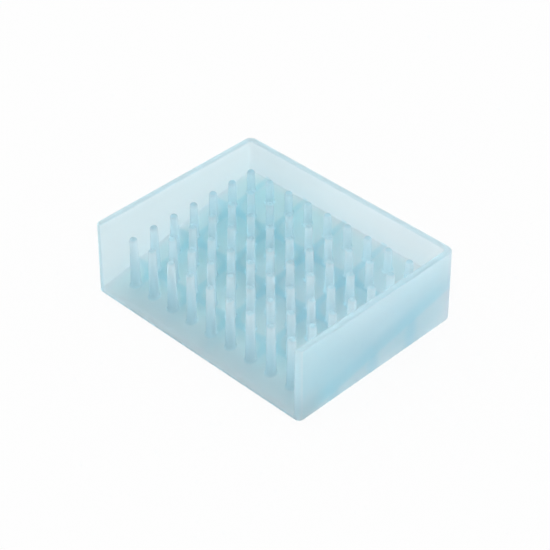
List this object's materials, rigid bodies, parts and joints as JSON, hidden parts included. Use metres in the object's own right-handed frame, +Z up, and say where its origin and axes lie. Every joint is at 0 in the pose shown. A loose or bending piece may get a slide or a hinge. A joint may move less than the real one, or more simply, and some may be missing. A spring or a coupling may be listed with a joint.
{
  "type": "soap dish",
  "caption": "Soap dish with a wall round three sides, a ramped floor that drains over the open long side, pins with level tips that hold the soap up, and a crate of ribs below.",
  "frame": {"origin": "middle of the footprint, on the surface that the dish stands on", "axes": "+X along the open long side, +Y from the open side to the back wall, +Z up"},
  "size_m": [0.1034, 0.08, 0.031],
  "materials": {
    "silicone": "frosted translucent pale blue silicone"
  },
  "bodies": {
    "root": {"surround_wall": "silicone", "pin_floor": "silicone", "long_rib_1": "silicone", "long_rib_2": "silicone", "long_rib_3": "silicone", "long_rib_4": "silicone", "long_rib_5": "silicone", "cross_rib_1": "silicone", "cross_rib_2": "silicone", "cross_rib_3": "silicone"}
  },
  "joints": []
}
